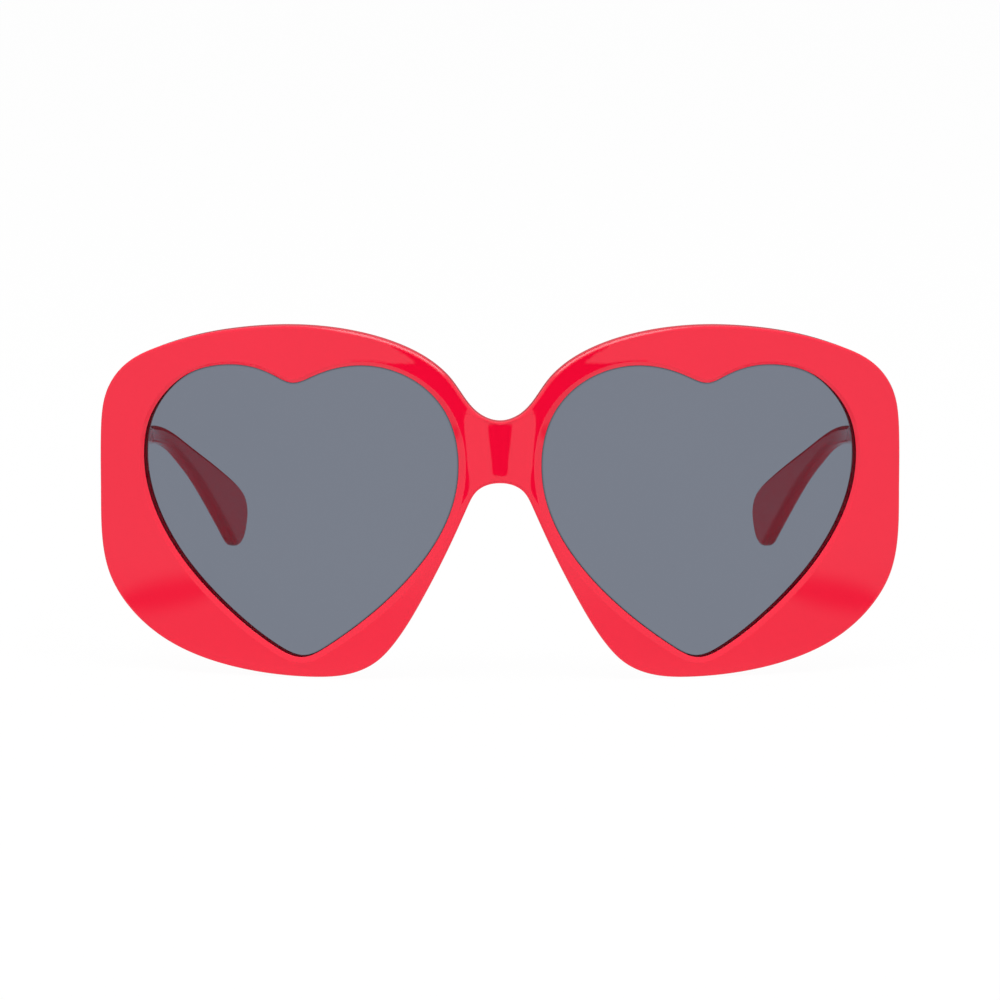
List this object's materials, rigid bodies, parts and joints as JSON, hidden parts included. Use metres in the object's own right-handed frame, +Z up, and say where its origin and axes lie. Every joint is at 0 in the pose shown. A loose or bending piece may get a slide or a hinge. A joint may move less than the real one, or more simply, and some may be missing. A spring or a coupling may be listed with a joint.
{
  "type": "heart shaped sunglasses",
  "caption": "Oversized sunglasses with heart shaped tinted lenses in a wrapped glossy acetate front, and temples that fold on screwed barrel hinges.",
  "frame": {"origin": "on the floor under the middle of the box of the open sunglasses, which stand on their rims and temple tips", "axes": "+Z up, -Y out of the front of the lenses, +X to the right of a viewer who faces the front; left and right in the names are that viewer's"},
  "size_m": [0.1484, 0.1442, 0.0656],
  "materials": {
    "acetate": "polished",
    "pad_acetate": "satin",
    "tinted_lens": "polished",
    "hinge_steel": "tumbled",
    "screw_steel": "polished",
    "core_steel": "drawn"
  },
  "bodies": {
    "front": {"front_frame": "acetate", "left_lens": "tinted_lens", "left_nose_pad": "pad_acetate", "left_front_hinge": "hinge_steel", "left_hinge_screw": "screw_steel", "right_lens": "tinted_lens", "right_nose_pad": "pad_acetate", "right_front_hinge": "hinge_steel", "right_hinge_screw": "screw_steel"},
    "left_arm": {"left_temple": "acetate", "left_core_wire": "core_steel", "left_temple_hinge": "hinge_steel"},
    "right_arm": {"right_temple": "acetate", "right_core_wire": "core_steel", "right_temple_hinge": "hinge_steel"}
  },
  "joints": [
    {"name": "left_temple_fold", "type": "hinge", "parent": "front", "child": "left_arm", "pos_m": [-0.06835, -0.04949, 0.04265], "axis": [0, -0.1702, -0.9854], "range_deg": [0, 86]},
    {"name": "right_temple_fold", "type": "hinge", "parent": "front", "child": "right_arm", "pos_m": [0.06835, -0.04949, 0.04265], "axis": [0, 0.1702, 0.9854], "range_deg": [0, 81]}
  ]
}
